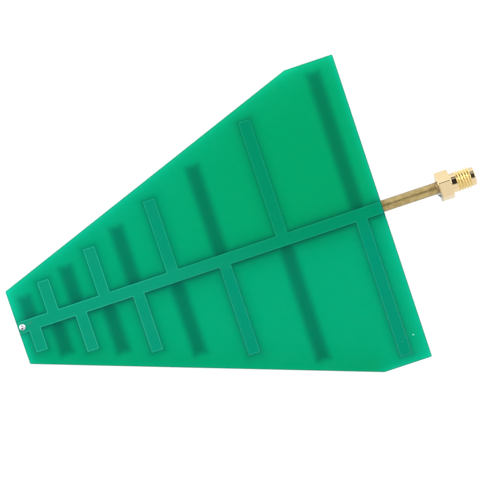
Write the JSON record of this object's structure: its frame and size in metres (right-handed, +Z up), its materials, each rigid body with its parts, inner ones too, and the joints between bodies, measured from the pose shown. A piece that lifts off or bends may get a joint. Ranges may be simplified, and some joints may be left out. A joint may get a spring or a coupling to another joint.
{
  "type": "log-periodic antenna",
  "caption": "Flat printed log-periodic dipole antenna on a tapered green board, fed by a rigid coaxial cable that ends in a threaded coaxial jack.",
  "frame": {"origin": "centre of the part's footprint, on the surface that the jack's lowest corner stands on", "axes": "+X along the boom from the narrow end to the jack, +Z up out of the board's front face, +Y across the board"},
  "size_m": [0.144, 0.095, 0.0088],
  "materials": {
    "glass_fibre": "routed glass-fibre laminate",
    "foil": "etched copper foil",
    "solder_mask": "translucent green solder mask, semi-gloss",
    "solder": "bright tin solder",
    "cable_jacket": "tarnished rigid copper-alloy tube",
    "dielectric": "white PTFE",
    "wire": "silver-plated copper-clad steel",
    "jack_plating": "gold-plated turned brass"
  },
  "bodies": {
    "root": {"substrate": "glass_fibre", "front_copper": "foil", "back_copper": "foil", "front_solder_mask": "solder_mask", "back_solder_mask": "solder_mask", "feed_solder": "solder", "cable_jacket": "cable_jacket", "cable_dielectric": "dielectric", "centre_wire": "wire", "cable_solder_tacks": "solder", "rear_solder_fillet": "solder", "jack_body": "jack_plating", "jack_insulator": "dielectric", "jack_contact": "jack_plating"}
  },
  "joints": []
}
